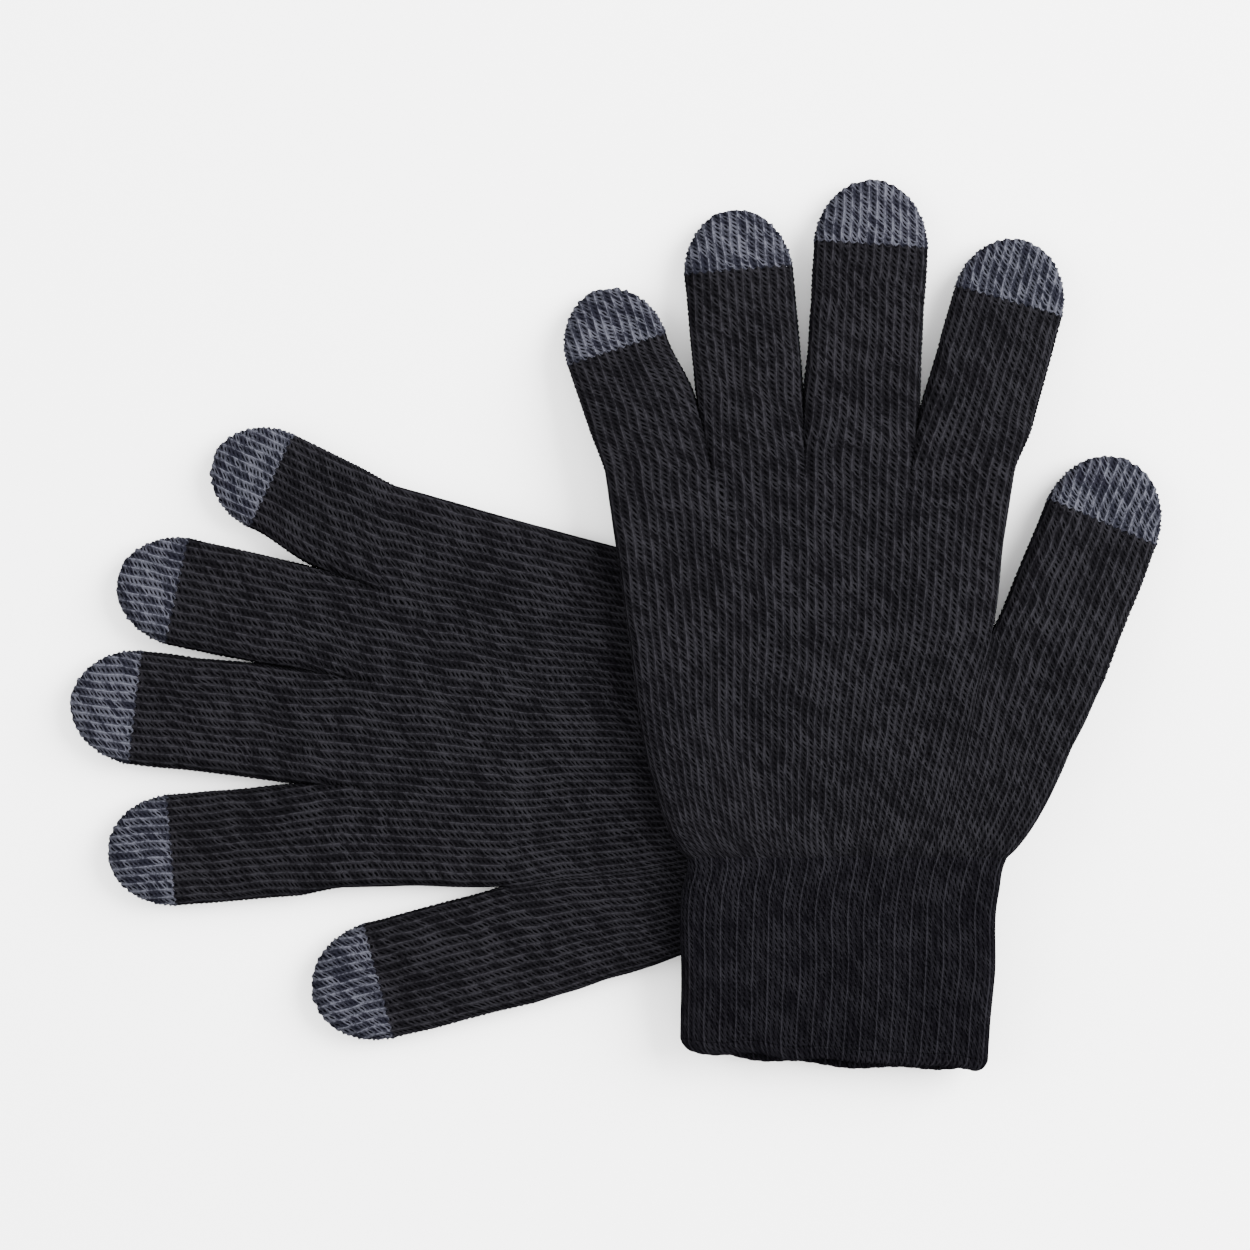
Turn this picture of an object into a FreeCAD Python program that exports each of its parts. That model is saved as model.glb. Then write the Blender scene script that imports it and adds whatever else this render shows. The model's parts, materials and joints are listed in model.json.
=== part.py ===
"""A pair of knitted touchscreen gloves, one lying across the other.

The left glove lies flat on the table with its palm up and its fingers towards -X.
The right glove lies over it with its palm up and its fingers towards +Y. Its hand
rests on the left glove, and its fingers and thumb slope down to the table.

Each glove is drawn in its own frame: the origin is the middle of the wrist fold on
the underside, +Y runs to the fingers, +X to the thumb of the right glove, +Z is up.
The left glove is the mirror image of the right one.
"""

import FreeCAD, Part
import math
import os

import Sketcher
from FreeCAD import Placement, Rotation, Vector

FINGERS = ("little", "ring", "middle", "index")
STALLS = FINGERS + ("thumb",)
SIDES = {"right": 1, "left": -1}

# Driving dimensions, in millimetres and degrees.
SIZES = {
    "glove_depth": 8.5,
    "wall_thickness": 1.4,
    "joint_gap": 0.5,
    "stack_gap": 0.3,
    # The hand: heights above the wrist fold, and the two edges at each height.
    "palm_length": 91.8,
    "heel_height": 14.2,
    "gusset_height": 53.4,
    "web_depth": 3.0,
    "branch_overlap": 2.5,
    "wrist_little_edge": -37.0,
    "wrist_thumb_edge": 38.9,
    "heel_little_edge": -42.5,
    "heel_thumb_edge": 48.4,
    "gusset_little_edge": -50.0,
    "gusset_thumb_edge": 66.4,
    "thumb_crotch": 35.1,
    "thumb_root_angle": 21.9,
    # The finger roots: where each stall starts and ends across the hand.
    "little_root_start": -56.3,
    "ring_root_start": -31.6,
    "middle_root_start": -9.25,
    "index_root_start": 15.9,
    "index_root_end": 40.3,
    "thumb_root_width": 28.5,
    # The stalls: width halfway, width at the tip yarn, length up to it, and the tip.
    "little_belly_width": 24.1,
    "little_end_width": 23.4,
    "little_stall_length": 32.0,
    "little_tip_length": 13.4,
    "ring_belly_width": 25.6,
    "ring_end_width": 24.4,
    "ring_stall_length": 49.0,
    "ring_tip_length": 13.4,
    "middle_belly_width": 26.9,
    "middle_end_width": 25.4,
    "middle_stall_length": 55.0,
    "middle_tip_length": 14.2,
    "index_belly_width": 26.4,
    "index_end_width": 25.2,
    "index_stall_length": 42.8,
    "index_tip_length": 14.2,
    "thumb_belly_width": 28.3,
    "thumb_end_width": 27.0,
    "thumb_stall_length": 36.0,
    "thumb_tip_length": 14.2,
    # The cuff, its hem and the elastic threads laid in behind its ribs.
    "cuff_length": 44.2,
    "cuff_width": 75.0,
    "cuff_offset": 0.6,
    "hem_length": 3.0,
    "hem_wall": 1.7,
    "elastic_size": 0.6,
    "elastic_pitch": 4.6,
    "elastic_margin": 4.0,
    "elastic_count": 8,
    # How each stall leans towards the thumb side as the gloves lie.
    "right_little_lean": -18.0,
    "right_ring_lean": -4.9,
    "right_middle_lean": 3.9,
    "right_index_lean": 16.0,
    "right_thumb_lean": 23.0,
    "left_little_lean": -18.0,
    "left_ring_lean": -4.9,
    "left_middle_lean": 1.0,
    "left_index_lean": 12.0,
    "left_thumb_lean": 22.0,
    # Where the gloves lie: the left wrist seen from the right one, and its turn.
    "left_wrist_east": -22.8,
    "left_wrist_north": 20.9,
    "left_turn": 82.5,
    # The part of a tip that reaches the table when a stall slopes down.
    "touch_down": 0.6,
}

TIP_ANGLES = (0, 30, 55, 75)
TIP_POCKET_ANGLES = (0, 30, 55)

doc = FreeCAD.newDocument("TouchscreenGloves")
sheet = doc.addObject("Spreadsheet::Sheet", "Sizes")
for row, (alias, value) in enumerate(SIZES.items(), start=1):
    sheet.set(f"A{row}", alias)
    sheet.set(f"B{row}", str(value))
    sheet.setAlias(f"B{row}", alias)
doc.recompute()


def size(alias):
    """Return a driving dimension from the sheet."""
    return float(sheet.get(alias))


def evaluate(text):
    """Return the value of an expression of the sheet's sizes."""
    return float(sheet.evalExpression(text))


class Section:
    """A flattened tube's outline: a slot shape standing across the tube.

    Every field is an expression: where it stands along the tube, its centre
    across the tube, its width, its centre height and its depth.
    """

    def __init__(self, station, centre, width, height, depth, turn=0.0):
        self.station = station
        self.centre = centre
        self.width = width
        self.height = height
        self.depth = depth
        self.turn = turn

    def inset(self, wall="Sizes.wall_thickness", along=None):
        """Return the outline inside a wall, at the same place or at another station."""
        station = self.station if along is None else along
        return Section(
            station,
            self.centre,
            f"{self.width} - 2 * {wall}",
            self.height,
            f"{self.depth} - 2 * {wall}",
            self.turn,
        )


def new_body(label):
    """Add an empty body whose label names its piece."""
    body = doc.addObject("PartDesign::Body", label)
    body.Label = label
    return body


def origin_plane(body, role):
    """Return one of the body's own origin planes."""
    return next(item for item in body.Origin.OriginFeatures if item.Role == role)


def slot_sketch(body, name, section):
    """Draw a slot outline on an upright plane across the tube."""
    sketch = body.newObject("Sketcher::SketchObject", name)
    sketch.AttachmentSupport = [(origin_plane(body, "XZ_Plane"), "")]
    sketch.MapMode = "FlatFace"
    turn = Rotation(Vector(0, 1, 0), section.turn)
    sketch.AttachmentOffset = Placement(Vector(0, 0, 0), turn)
    sketch.setExpression(".AttachmentOffset.Base.z", f"-1 * ({section.station})")
    radius = evaluate(section.depth) / 2
    reach = evaluate(section.width) / 2 - radius
    middle = evaluate(section.centre)
    level = evaluate(section.height)
    east = Vector(middle + reach, level, 0)
    west = Vector(middle - reach, level, 0)
    up = Vector(0, radius, 0)
    axis = Vector(0, 0, 1)
    quarter = math.pi / 2
    top = sketch.addGeometry(Part.LineSegment(west + up, east + up))
    bend = Part.ArcOfCircle(Part.Circle(east, axis, radius), -quarter, quarter)
    right_end = sketch.addGeometry(bend)
    base = sketch.addGeometry(Part.LineSegment(east - up, west - up))
    bend = Part.ArcOfCircle(Part.Circle(west, axis, radius), quarter, 3 * quarter)
    left_end = sketch.addGeometry(bend)
    rule = Sketcher.Constraint
    sketch.addConstraint(rule("Tangent", top, 2, right_end, 2))
    sketch.addConstraint(rule("Tangent", right_end, 1, base, 1))
    sketch.addConstraint(rule("Tangent", base, 2, left_end, 2))
    sketch.addConstraint(rule("Tangent", left_end, 1, top, 1))
    sketch.addConstraint(rule("Horizontal", top))
    sketch.addConstraint(rule("Horizontal", base))
    bind(sketch, rule("Radius", right_end, radius), f"({section.depth}) / 2")
    span = f"{section.width} - ({section.depth})"
    bind(sketch, rule("DistanceX", left_end, 3, right_end, 3, 2 * reach), span)
    bind(sketch, rule("DistanceY", -1, 1, right_end, 3, level), section.height)
    place = f"{section.centre} + ({span}) / 2"
    bind(sketch, rule("DistanceX", -1, 1, right_end, 3, east.x), place)
    return sketch


def bind(sketch, constraint, expression):
    """Add a constraint whose value follows an expression."""
    index = sketch.addConstraint(constraint)
    sketch.setExpression(f"Constraints[{index}]", expression)


def loft(body, name, sections, hollow=False):
    """Add, or with hollow cut, a straight-sided loft through slot outlines."""
    sketches = [
        slot_sketch(body, f"{name}_{order}", section)
        for order, section in enumerate(sections)
    ]
    doc.recompute()
    kind = "PartDesign::SubtractiveLoft" if hollow else "PartDesign::AdditiveLoft"
    feature = body.newObject(kind, name)
    feature.Profile = (sketches[0], [""])
    feature.Sections = [(sketch, [""]) for sketch in sketches[1:]]
    feature.Ruled = True
    doc.recompute()
    return feature


def cut_polygon(body, name, corners):
    """Cut the hand right through with a polygon seen from above."""
    sketch = body.newObject("Sketcher::SketchObject", name + "_outline")
    sketch.AttachmentSupport = [(origin_plane(body, "XY_Plane"), "")]
    sketch.MapMode = "FlatFace"
    points = [Vector(evaluate(x), evaluate(y), 0) for x, y in corners]
    sides = [
        sketch.addGeometry(Part.LineSegment(start, end))
        for start, end in zip(points, points[1:] + points[:1])
    ]
    rule = Sketcher.Constraint
    for side, following in zip(sides, sides[1:] + sides[:1]):
        sketch.addConstraint(rule("Coincident", side, 2, following, 1))
    for side, point, (x, y) in zip(sides, points, corners):
        bind(sketch, rule("DistanceX", -1, 1, side, 1, point.x), x)
        bind(sketch, rule("DistanceY", -1, 1, side, 1, point.y), y)
    doc.recompute()
    pocket = body.newObject("PartDesign::Pocket", name)
    pocket.Profile = sketch
    pocket.Type = "ThroughAll"
    pocket.Midplane = True
    doc.recompute()
    return pocket


def across(start, end, sign):
    """Return the centre and width expressions of a span, mirrored by the sign."""
    return f"{sign} * (({start}) + ({end})) / 2", f"(({end}) - ({start}))"


def root_span(finger):
    """Return the two ends of a finger's root as expressions."""
    if finger == "index":
        return "Sizes.index_root_start", "Sizes.index_root_end"
    following = FINGERS[FINGERS.index(finger) + 1]
    return f"Sizes.{finger}_root_start", f"Sizes.{following}_root_start"


def hand_section(height, start, end, sign):
    """Return the hand's outline at a height, between its two edges."""
    centre, width = across(start, end, sign)
    return Section(height, centre, width, "Sizes.glove_depth / 2", "Sizes.glove_depth")


def build_hand(side):
    """Build a hand: palm, back, thumb gusset and the finger openings, all hollow."""
    sign = SIDES[side]
    body = new_body(f"{side}_hand")
    wrist = hand_section("0", "Sizes.wrist_little_edge", "Sizes.wrist_thumb_edge", sign)
    heel = hand_section(
        "Sizes.heel_height", "Sizes.heel_little_edge", "Sizes.heel_thumb_edge", sign
    )
    gusset = hand_section(
        "Sizes.gusset_height", "Sizes.gusset_little_edge", "Sizes.gusset_thumb_edge", sign
    )
    branch = hand_section(
        "Sizes.gusset_height - Sizes.branch_overlap",
        "Sizes.gusset_little_edge",
        "Sizes.thumb_crotch",
        sign,
    )
    front = hand_section(
        "Sizes.palm_length - Sizes.joint_gap",
        "Sizes.little_root_start",
        "Sizes.index_root_end",
        sign,
    )
    loft(body, f"{side}_heel", [wrist, heel, gusset])
    corner = f"{sign} * Sizes.thumb_crotch"
    slope = "tan(Sizes.thumb_root_angle)"
    run = "Sizes.gusset_thumb_edge"
    above = "Sizes.gusset_height + Sizes.glove_depth"
    cut_polygon(
        body,
        f"{side}_thumb_opening",
        [
            (corner, "Sizes.gusset_height"),
            (f"{corner} + {sign} * {run}", f"Sizes.gusset_height - {run} * {slope}"),
            (f"{corner} + {sign} * {run}", above),
            (corner, above),
        ],
    )
    loft(body, f"{side}_palm", [branch, front])
    inner = [wrist.inset(), heel.inset(), gusset.inset()]
    loft(body, f"{side}_heel_hollow", inner, hollow=True)
    web = front.inset(along=f"{front.station} - Sizes.web_depth")
    loft(body, f"{side}_palm_hollow", [branch.inset(), web], hollow=True)
    for finger in FINGERS:
        opening = finger_root(finger, sign).inset()
        start = Section(
            web.station, opening.centre, opening.width, opening.height, opening.depth
        )
        end = Section(
            front.station, opening.centre, opening.width, opening.height, opening.depth
        )
        loft(body, f"{side}_{finger}_opening", [start, end], hollow=True)
    return body


def finger_root(finger, sign):
    """Return a finger's root outline in the glove's frame."""
    start, end = root_span(finger)
    centre, width = across(start, end, sign)
    return Section(
        "Sizes.palm_length",
        centre,
        f"({width} - Sizes.joint_gap)",
        "Sizes.glove_depth / 2",
        "Sizes.glove_depth",
    )


def stall_frame(side, stall):
    """Return a stall's place on its glove: root centre, lean and root turn."""
    sign = SIDES[side]
    lean = size(f"{side}_{stall}_lean")
    if stall == "thumb":
        angle = math.radians(size("thumb_root_angle"))
        gap = size("joint_gap")
        # The palm's edge has already flared by this much where the thumb leaves it.
        rise = size("palm_length") - size("gusset_height")
        flare = size("branch_overlap") * (size("index_root_end") - size("thumb_crotch")) / rise
        reach = (size("thumb_root_width") + gap) / 2 + flare
        x = size("thumb_crotch") + reach * math.cos(angle) + gap * math.sin(angle)
        y = size("gusset_height") - reach * math.sin(angle) + gap * math.cos(angle)
        return Vector(sign * x, y, 0), -sign * lean, sign * (lean - size("thumb_root_angle"))
    start, end = root_span(stall)
    x = evaluate(f"({start} + {end}) / 2")
    return Vector(sign * x, size("palm_length"), 0), -sign * lean, sign * lean


def slope_of(side, stall):
    """Return how far a stall drops for each millimetre of its length."""
    if side == "left":
        return "0"
    reach = f"(Sizes.{stall}_stall_length + Sizes.touch_down * Sizes.{stall}_tip_length)"
    return f"((Sizes.glove_depth + Sizes.stack_gap) / {reach})"


def stall_section(side, stall, station, width, depth="Sizes.glove_depth", turn=0.0):
    """Return a stall's outline at a distance from its root, on its own slope."""
    height = f"Sizes.glove_depth / 2 - {slope_of(side, stall)} * ({station})"
    return Section(station, "0", width, height, depth, turn)


def build_stall(side, stall):
    """Build the plain knitted tube of a finger or thumb, up to its tip yarn."""
    _, _, root_turn = stall_frame(side, stall)
    body = new_body(f"{side}_{stall}_stall")
    if stall == "thumb":
        root_width = "Sizes.thumb_root_width"
    else:
        start, end = root_span(stall)
        root_width = f"(({end}) - ({start}) - Sizes.joint_gap)"
    length = f"Sizes.{stall}_stall_length"
    root = stall_section(side, stall, "0", root_width, turn=root_turn)
    belly = stall_section(side, stall, f"{length} / 2", f"Sizes.{stall}_belly_width")
    end = stall_section(side, stall, length, f"Sizes.{stall}_end_width")
    loft(body, f"{side}_{stall}_tube", [root, belly, end])
    inner = [root.inset(), belly.inset(), end.inset()]
    loft(body, f"{side}_{stall}_bore", inner, hollow=True)
    return body


def build_tip(side, stall):
    """Build the domed fingertip knitted in conductive yarn, hollow from its root."""
    body = new_body(f"{side}_{stall}_tip")
    start = f"Sizes.{stall}_stall_length"
    last = f"sin({TIP_ANGLES[-1]})"
    outer = []
    for angle in TIP_ANGLES:
        station = f"{start} + Sizes.{stall}_tip_length * sin({angle}) / {last}"
        width = f"Sizes.{stall}_end_width * cos({angle})"
        depth = f"Sizes.glove_depth * sqrt(cos({angle}))"
        outer.append(stall_section(side, stall, station, width, depth))
    loft(body, f"{side}_{stall}_dome", outer)
    inner = []
    for angle in TIP_POCKET_ANGLES:
        reach = f"(Sizes.{stall}_tip_length - 2 * Sizes.wall_thickness)"
        station = f"{start} + {reach} * sin({angle}) / {last}"
        width = f"(Sizes.{stall}_end_width - 2 * Sizes.wall_thickness) * cos({angle})"
        depth = f"(Sizes.glove_depth - 2 * Sizes.wall_thickness) * sqrt(cos({angle}))"
        inner.append(stall_section(side, stall, station, width, depth))
    loft(body, f"{side}_{stall}_pocket", inner, hollow=True)
    return body


def cuff_section(side, station):
    """Return the cuff's outline at a height above the wrist fold."""
    centre = f"{SIDES[side]} * Sizes.cuff_offset"
    return Section(
        station, centre, "Sizes.cuff_width", "Sizes.glove_depth / 2", "Sizes.glove_depth"
    )


def build_ring(side, name, start, end, outer_wall, inner_wall):
    """Build a ring of the cuff between two heights and two depths inside its face."""
    body = new_body(f"{side}_{name}")
    first = cuff_section(side, start)
    last = cuff_section(side, end)
    outer = [first.inset(outer_wall), last.inset(outer_wall)]
    loft(body, f"{side}_{name}_band", outer)
    inner = [first.inset(inner_wall), last.inset(inner_wall)]
    loft(body, f"{side}_{name}_mouth", inner, hollow=True)
    return body


def build_cuff(side):
    """Build the ribbed cuff, its hem and the elastic threads inside it."""
    top = "-1 * Sizes.joint_gap"
    seam = f"({top} - Sizes.cuff_length)"
    edge = f"({seam} - Sizes.hem_length)"
    cuff = build_ring(side, "cuff", top, seam, "0", "Sizes.wall_thickness")
    hem = build_ring(side, "cuff_hem", seam, edge, "0", "Sizes.hem_wall")
    start = f"({top} - Sizes.elastic_margin)"
    end = f"({start} - Sizes.elastic_size)"
    wall = "Sizes.wall_thickness"
    inside = f"({wall} + Sizes.elastic_size)"
    elastic = build_ring(side, "cuff_elastic", start, end, wall, inside)
    pattern = elastic.newObject("PartDesign::LinearPattern", f"{side}_elastic_rows")
    pattern.Originals = [item for item in elastic.Group if "Loft" in item.TypeId]
    pattern.Direction = (origin_plane(elastic, "Y_Axis"), [""])
    pattern.Reversed = True
    span = "Sizes.elastic_pitch * (Sizes.elastic_count - 1)"
    pattern.setExpression("Length", span)
    pattern.setExpression("Occurrences", "Sizes.elastic_count")
    elastic.Tip = pattern
    doc.recompute()
    return [cuff, hem, elastic]


def glove_placement(side):
    """Return where a glove lies, before the pair is centred."""
    if side == "right":
        return Placement(Vector(0, 0, size("glove_depth") + size("stack_gap")), Rotation())
    place = Vector(size("left_wrist_east"), size("left_wrist_north"), 0)
    return Placement(place, Rotation(Vector(0, 0, 1), size("left_turn")))


def build_glove(side):
    """Build every piece of one glove and lay it in its place."""
    lie = glove_placement(side)
    pieces = [build_hand(side)] + build_cuff(side)
    for piece in pieces:
        piece.Placement = lie
    for stall in STALLS:
        root, heading, _ = stall_frame(side, stall)
        place = lie.multiply(Placement(root, Rotation(Vector(0, 0, 1), heading)))
        for piece in (build_stall(side, stall), build_tip(side, stall)):
            piece.Placement = place
            pieces.append(piece)
    return pieces


def centre_pair(pieces):
    """Move the pair so that its box stands centred on the origin."""
    box = FreeCAD.BoundBox()
    for piece in pieces:
        box.add(piece.Shape.optimalBoundingBox(False))
    shift = Placement(Vector(-box.Center.x, -box.Center.y, -box.ZMin), Rotation())
    for piece in pieces:
        piece.Placement = shift.multiply(piece.Placement)
    doc.recompute()


def check(pieces):
    """Stop if any object failed or any piece isn't a valid solid."""
    for item in doc.Objects:
        if "Invalid" in item.State or "Error" in item.State:
            raise RuntimeError(f"{item.Label} failed: {item.State}")
    for piece in pieces:
        if piece.Shape.isNull() or not piece.Shape.isValid() or not piece.Shape.Solids:
            raise RuntimeError(f"{piece.Label} has no valid solid")


pair = build_glove("left") + build_glove("right")
centre_pair(pair)
check(pair)
os.makedirs("parts", exist_ok=True)
for piece in pair:
    piece.Shape.exportStep(f"parts/{piece.Label}.step")
    box = piece.Shape.BoundBox
    count = len(piece.Shape.Solids)
    print(f"{piece.Label}: {count} solid(s), {piece.Shape.Volume:.0f} mm3, {box}")
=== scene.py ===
"""A pair of knitted touchscreen gloves, one lying palm up across the other.

Every piece is a knitted tube drawn in its own glove's plan, in millimetres: the
origin is the middle of the wrist fold, +Y runs to the fingers and +X to the thumb.
The plan of the left glove is mirrored. A tube is two sheets that meet along its
edges, and its stitches are both real relief and a shader pattern that read the same
stitch coordinates. The pattern holds painted shade in the stitch gaps and rib furrows
and a painted highlight on the raised legs.
"""

import json
import logging
import math
from dataclasses import dataclass, replace
from enum import Enum

import bmesh
import bpy
import numpy as np
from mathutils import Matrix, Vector


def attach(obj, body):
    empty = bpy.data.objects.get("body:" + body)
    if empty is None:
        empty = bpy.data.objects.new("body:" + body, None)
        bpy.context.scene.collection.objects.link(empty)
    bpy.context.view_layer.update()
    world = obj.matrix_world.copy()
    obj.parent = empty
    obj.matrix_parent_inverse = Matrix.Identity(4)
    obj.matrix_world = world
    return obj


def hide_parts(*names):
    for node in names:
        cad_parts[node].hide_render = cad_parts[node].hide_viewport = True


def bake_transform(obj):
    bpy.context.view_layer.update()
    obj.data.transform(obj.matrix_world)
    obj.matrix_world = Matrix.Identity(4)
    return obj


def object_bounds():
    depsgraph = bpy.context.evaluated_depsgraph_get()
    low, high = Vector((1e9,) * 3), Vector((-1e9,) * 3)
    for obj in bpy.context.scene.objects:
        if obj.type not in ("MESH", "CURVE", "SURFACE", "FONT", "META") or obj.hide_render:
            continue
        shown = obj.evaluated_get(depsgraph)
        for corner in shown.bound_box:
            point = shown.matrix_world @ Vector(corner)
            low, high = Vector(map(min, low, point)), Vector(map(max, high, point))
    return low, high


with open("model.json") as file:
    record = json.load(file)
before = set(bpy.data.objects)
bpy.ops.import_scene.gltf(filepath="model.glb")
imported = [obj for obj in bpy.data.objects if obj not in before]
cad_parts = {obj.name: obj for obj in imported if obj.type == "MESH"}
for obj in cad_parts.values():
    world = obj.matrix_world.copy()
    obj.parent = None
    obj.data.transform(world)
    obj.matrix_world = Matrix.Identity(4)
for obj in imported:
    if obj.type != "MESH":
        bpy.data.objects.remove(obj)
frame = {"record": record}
CAD_BOX = [list(corner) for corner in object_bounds()]

MM = 0.001
LOG = logging.getLogger("gloves")
Array = np.ndarray
Piece = bpy.types.Object
Value = bpy.types.NodeSocket | float | tuple[float, ...]


class Side(Enum):
    """Which hand a glove fits; the value mirrors its plan."""

    RIGHT = 1
    LEFT = -1

    @property
    def label(self) -> str:
        """The side's name as the pieces carry it."""
        return self.name.lower()


class Digit(Enum):
    """The five stalls, from the little finger to the thumb."""

    LITTLE = "little"
    RING = "ring"
    MIDDLE = "middle"
    INDEX = "index"
    THUMB = "thumb"


FINGERS = (Digit.LITTLE, Digit.RING, Digit.MIDDLE, Digit.INDEX)


@dataclass(frozen=True)
class Gauge:
    """The knit's stitch size and how finely its relief is modelled, in millimetres."""

    course: float = 1.23
    tip_course: float = 1.1
    cuff_course: float = 1.4
    columns: int = 5
    rows: int = 3
    relief: float = 0.17
    loops: float = 0.17
    half_depth: float = 3.9
    edge_roll: float = 3.6
    palm_wales: int = 47
    tooth: float = 0.42
    crotch_rise: float = 0.7


@dataclass(frozen=True)
class Stitch:
    """The shape of one stitch, in wales across and courses along; relief and shader share it."""

    slant: float = 1.6
    stagger: float = 0.45
    stagger_turn: float = 2.4
    gap_place: float = 0.6
    gap_width: float = 0.26
    gap_power: float = 1.5
    gap_depth: float = 0.85
    leg_place: float = 0.08
    leg_width: float = 0.1
    leg_line: float = 0.075
    leg_height: float = 0.3
    base: float = 0.35
    rib_start: float = 9.0
    rib_full: float = -1.0


@dataclass(frozen=True)
class DigitPlan:
    """A stall's own sizes, in millimetres, and its stitches across one sheet."""

    belly: float
    stall: float
    tip: float
    dome: float
    wales: int

    @property
    def length(self) -> float:
        """The whole length from the root to the end of the tip."""
        return self.stall + self.tip


@dataclass(frozen=True)
class HandPlan:
    """The hand's outline: heights above the wrist and the edges there, in millimetres."""

    palm: float = 91.8
    crotch_height: float = 53.4
    crotch: float = 35.1
    root_angle: float = 21.9
    thumb_root: float = 28.8
    roots: tuple = (-56.3, -31.6, -9.25, 15.9, 40.3)
    little_edge: tuple = (
        (0, -37.0), (5, -40.2), (14.2, -43.6), (30, -47.4), (53.4, -50.6), (91.8, -56.3),
    )
    gusset_edge: tuple = ((0, 38.6), (5, 42.9), (14.2, 48.4), (28, 54.8), (42.6, 61.8))
    index_edge: tuple = ((53.4, 35.1), (62, 36.5), (75, 38.0), (91.8, 40.3))


@dataclass(frozen=True)
class GlovePose:
    """How a glove's stalls lean, and how far neighbours touch, in degrees and millimetres."""

    leans: dict
    creases: tuple
    lifted: float = 0.0


@dataclass(frozen=True)
class CuffPlan:
    """The ribbed cuff and its welt, in millimetres."""

    little_edge: tuple = ((-60, -38.4), (-25, -38.2), (-8, -38.0), (0, -37.0), (5, -40.2))
    thumb_edge: tuple = ((-60, 33.4), (-25, 35.8), (-8, 36.6), (0, 38.6), (5, 42.9))
    short_side: float = 42.3
    long_side: float = 46.9
    welt: float = 3.0
    wall: float = 1.1
    tuck: float = 1.6
    droop_start: float = 25.0
    droop_length: float = 26.0
    droop: float = 4.5
    threads: int = 8
    first_thread: float = 4.3
    thread_pitch: float = 4.6
    thread_radius: float = 0.3


GAUGE = Gauge()
STITCH = Stitch()
HAND = HandPlan()
CUFF = CuffPlan()
DIGITS = {
    Digit.LITTLE: DigitPlan(24.4, 30.4, 15.2, 14.6, 15),
    Digit.RING: DigitPlan(25.6, 48.0, 14.8, 15.6, 15),
    Digit.MIDDLE: DigitPlan(26.9, 54.0, 15.8, 16.4, 16),
    Digit.INDEX: DigitPlan(26.5, 42.0, 15.4, 16.0, 16),
    Digit.THUMB: DigitPlan(28.2, 34.4, 16.2, 17.0, 16),
}
RIGHT_LEANS = {
    Digit.LITTLE: -18.0, Digit.RING: -4.9, Digit.MIDDLE: 3.9, Digit.INDEX: 16.0, Digit.THUMB: 23.0,
}
LEFT_LEANS = {
    Digit.LITTLE: -18.0, Digit.RING: -4.9, Digit.MIDDLE: 1.0, Digit.INDEX: 12.0, Digit.THUMB: 22.0,
}
POSES = {
    Side.RIGHT: GlovePose(RIGHT_LEANS, (15.0, 17.0, 14.0), 8.8),
    Side.LEFT: GlovePose(LEFT_LEANS, (14.5, 25.0, 14.0)),
}


def smoothstep(low: float, high: float, value: Array | float) -> Array:
    """Return a smooth 0 to 1 ramp of value between low and high."""
    ramp = np.clip((value - low) / (high - low), 0.0, 1.0)
    return ramp * ramp * (3.0 - 2.0 * ramp)


def smooth_line(points: tuple, at: Array) -> Array:
    """Return a smooth curve's value at each station.

    Args:
        points: pairs of station and value, with the stations rising.
        at: the stations to read.

    Returns:
        The values there.
    """
    stations, values = np.array(points, float).T
    slopes = np.gradient(values, stations)
    at = np.clip(at, stations[0], stations[-1])
    left = np.clip(np.searchsorted(stations, at) - 1, 0, len(stations) - 2)
    span = stations[left + 1] - stations[left]
    way = (at - stations[left]) / span
    start = (2 * way**3 - 3 * way**2 + 1) * values[left]
    start += (way**3 - 2 * way**2 + way) * span * slopes[left]
    end = (3 * way**2 - 2 * way**3) * values[left + 1]
    end += (way**3 - way**2) * span * slopes[left + 1]
    return start + end


def spread(width: Array | float, share: Array | int, roll: float = GAUGE.edge_roll) -> Array:
    """Place columns across a flattened tube by their share of its surface.

    Args:
        width: the flat width, one number or one for each row.
        share: each column's place along the surface, from 0 to 1, or how many
            even spaces lie between the columns.
        roll: the radius of the rolled edges.

    Returns:
        The distance of each column from the left edge, one row for each width.
    """
    width = np.asarray(width, float)[..., None]
    roll = np.minimum(roll, width / 2 + 1e-9)
    length = width - 2 * roll + math.pi * roll
    if np.ndim(share) == 0:
        share = np.linspace(0.0, 1.0, share + 1)
    along = length * np.minimum(share, 1 - share)
    bent = roll * (1 - np.cos(along / roll))
    flat = along - (math.pi / 2 - 1) * roll
    inset = np.where(along < math.pi / 2 * roll, bent, flat)
    return np.where(share <= 0.5, inset, width - inset)


def unrolled(offset: Array, width: float, roll: float = GAUGE.edge_roll) -> Array:
    """Return the share of a tube's surface up to an offset from its left edge.

    Args:
        offset: distances from the left edge, in millimetres.
        width: the tube's flat width.
        roll: the radius of the rolled edges.

    Returns:
        The share, from 0 to 1.
    """
    inset = np.clip(np.minimum(offset, width - offset), 0, None)
    bent = roll * np.arccos(np.clip(1 - inset / roll, 0, 1))
    length = width + (math.pi - 2) * roll
    share = np.where(inset < roll, bent, inset + (math.pi / 2 - 1) * roll) / length
    return np.where(offset < width / 2, share, 1 - share)


def swell(
    depth: Array, half: Array | float = GAUGE.half_depth, roll: float = GAUGE.edge_roll
) -> Array:
    """Return the half thickness of a tube at a distance inside its outline.

    Args:
        depth: distances inside the outline, in millimetres.
        half: the half thickness well inside.
        roll: how far in the rolled edge reaches.

    Returns:
        The half thickness there.
    """
    inside = np.clip(depth / roll, 0.0, 1.0)
    power = 2.2
    return half * (1 - (1 - inside) ** power) ** (1 / power)


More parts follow.
